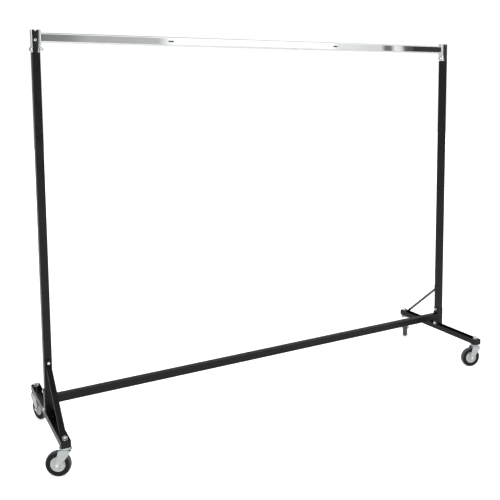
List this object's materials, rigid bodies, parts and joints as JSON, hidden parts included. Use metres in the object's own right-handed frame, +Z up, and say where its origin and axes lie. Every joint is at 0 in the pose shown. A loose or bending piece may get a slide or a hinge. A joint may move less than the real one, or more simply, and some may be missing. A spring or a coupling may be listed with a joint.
{
  "type": "rolling clothes rack",
  "caption": "Free-standing rolling clothes rack: square-tube end frames with a low crossbar, diagonal braces, a chromed hanging rail in sections, and swivel casters.",
  "frame": {"origin": "on the floor, midway between the two end frames and between the front and rear casters", "axes": "+X along the hanging rail, +Z up, so -Y is the front"},
  "size_m": [2.2305, 0.5969, 1.688],
  "materials": {
    "black_frame": "semi-gloss black stove enamel",
    "chrome_trim": "bright chrome plate",
    "caster_zinc": "bright zinc plate over pressed steel",
    "bright_zinc": "bright zinc plate",
    "bearing_steel": "greased steel",
    "dark_screw": "dark zinc plate",
    "hub_grey": "moulded light grey plastic, satin",
    "tyre_rubber": "dark grey rubber, slightly scuffed"
  },
  "bodies": {
    "frame": {"leg_left": "black_frame", "leg_right": "black_frame", "upright_left": "black_frame", "upright_right": "black_frame", "brace_left": "black_frame", "brace_right": "black_frame", "crossbar_plate_left": "black_frame", "crossbar_plate_right": "black_frame", "backing_plate_left": "black_frame", "backing_plate_right": "black_frame", "rail_bracket_left": "chrome_trim", "rail_bracket_right": "chrome_trim", "leg_welds": "black_frame", "brace_bolts": "bright_zinc", "brace_nuts": "bright_zinc", "crossbar_tube": "black_frame", "crossbar_bolts": "bright_zinc", "crossbar_washers": "bright_zinc", "crossbar_nuts": "bright_zinc", "rail_screws": "chrome_trim", "clamp_bolts": "chrome_trim", "clamp_nuts": "chrome_trim", "rail_section_left": "chrome_trim", "rail_section_centre": "chrome_trim", "rail_section_right": "chrome_trim", "rail_sleeve_left": "dark_screw", "rail_sleeve_right": "dark_screw", "rail_joint_screws": "dark_screw", "caster_stems": "bright_zinc", "top_races": "caster_zinc", "ball_rings": "bearing_steel", "stem_spacers": "bright_zinc", "stem_washers": "bright_zinc", "stem_nuts": "bright_zinc"},
    "caster_fork_front_left": {"fork_front_left": "caster_zinc", "axle_front_left": "bright_zinc", "axle_nut_front_left": "bright_zinc"},
    "caster_wheel_front_left": {"wheel_bushing_front_left": "bearing_steel", "wheel_centre_front_left": "hub_grey", "tyre_front_left": "tyre_rubber"},
    "caster_fork_front_right": {"fork_front_right": "caster_zinc", "axle_front_right": "bright_zinc", "axle_nut_front_right": "bright_zinc"},
    "caster_wheel_front_right": {"wheel_bushing_front_right": "bearing_steel", "wheel_centre_front_right": "hub_grey", "tyre_front_right": "tyre_rubber"},
    "caster_fork_rear_left": {"fork_rear_left": "caster_zinc", "axle_rear_left": "bright_zinc", "axle_nut_rear_left": "bright_zinc"},
    "caster_wheel_rear_left": {"wheel_bushing_rear_left": "bearing_steel", "wheel_centre_rear_left": "hub_grey", "tyre_rear_left": "tyre_rubber"},
    "caster_fork_rear_right": {"fork_rear_right": "caster_zinc", "axle_rear_right": "bright_zinc", "axle_nut_rear_right": "bright_zinc"},
    "caster_wheel_rear_right": {"wheel_bushing_rear_right": "bearing_steel", "wheel_centre_rear_right": "hub_grey", "tyre_rear_right": "tyre_rubber"}
  },
  "joints": [
    {"name": "swivel_front_left", "type": "hinge", "parent": "frame", "child": "caster_fork_front_left", "pos_m": [-1.067, -0.272, 0.1086], "axis": [0, 0, 1], "continuous": true},
    {"name": "roll_front_left", "type": "hinge", "parent": "caster_fork_front_left", "child": "caster_wheel_front_left", "pos_m": [-1.09038, -0.2585, 0.049], "axis": [-0.5, -0.866, 0], "continuous": true},
    {"name": "swivel_front_right", "type": "hinge", "parent": "frame", "child": "caster_fork_front_right", "pos_m": [1.067, -0.272, 0.1086], "axis": [0, 0, 1], "continuous": true},
    {"name": "roll_front_right", "type": "hinge", "parent": "caster_fork_front_right", "child": "caster_wheel_front_right", "pos_m": [1.04098, -0.26478, 0.049], "axis": [-0.2672, -0.9636, 0], "continuous": true},
    {"name": "swivel_rear_left", "type": "hinge", "parent": "frame", "child": "caster_fork_rear_left", "pos_m": [-1.067, 0.272, 0.1086], "axis": [0, 0, 1], "continuous": true},
    {"name": "roll_rear_left", "type": "hinge", "parent": "caster_fork_rear_left", "child": "caster_wheel_rear_left", "pos_m": [-1.05866, 0.24632, 0.049], "axis": [0.9511, 0.309, 0], "continuous": true},
    {"name": "swivel_rear_right", "type": "hinge", "parent": "frame", "child": "caster_fork_rear_right", "pos_m": [1.067, 0.272, 0.1086], "axis": [0, 0, 1], "continuous": true},
    {"name": "roll_rear_right", "type": "hinge", "parent": "caster_fork_rear_right", "child": "caster_wheel_rear_right", "pos_m": [1.04947, 0.25147, 0.049], "axis": [0.7604, -0.6494, 0], "continuous": true}
  ]
}
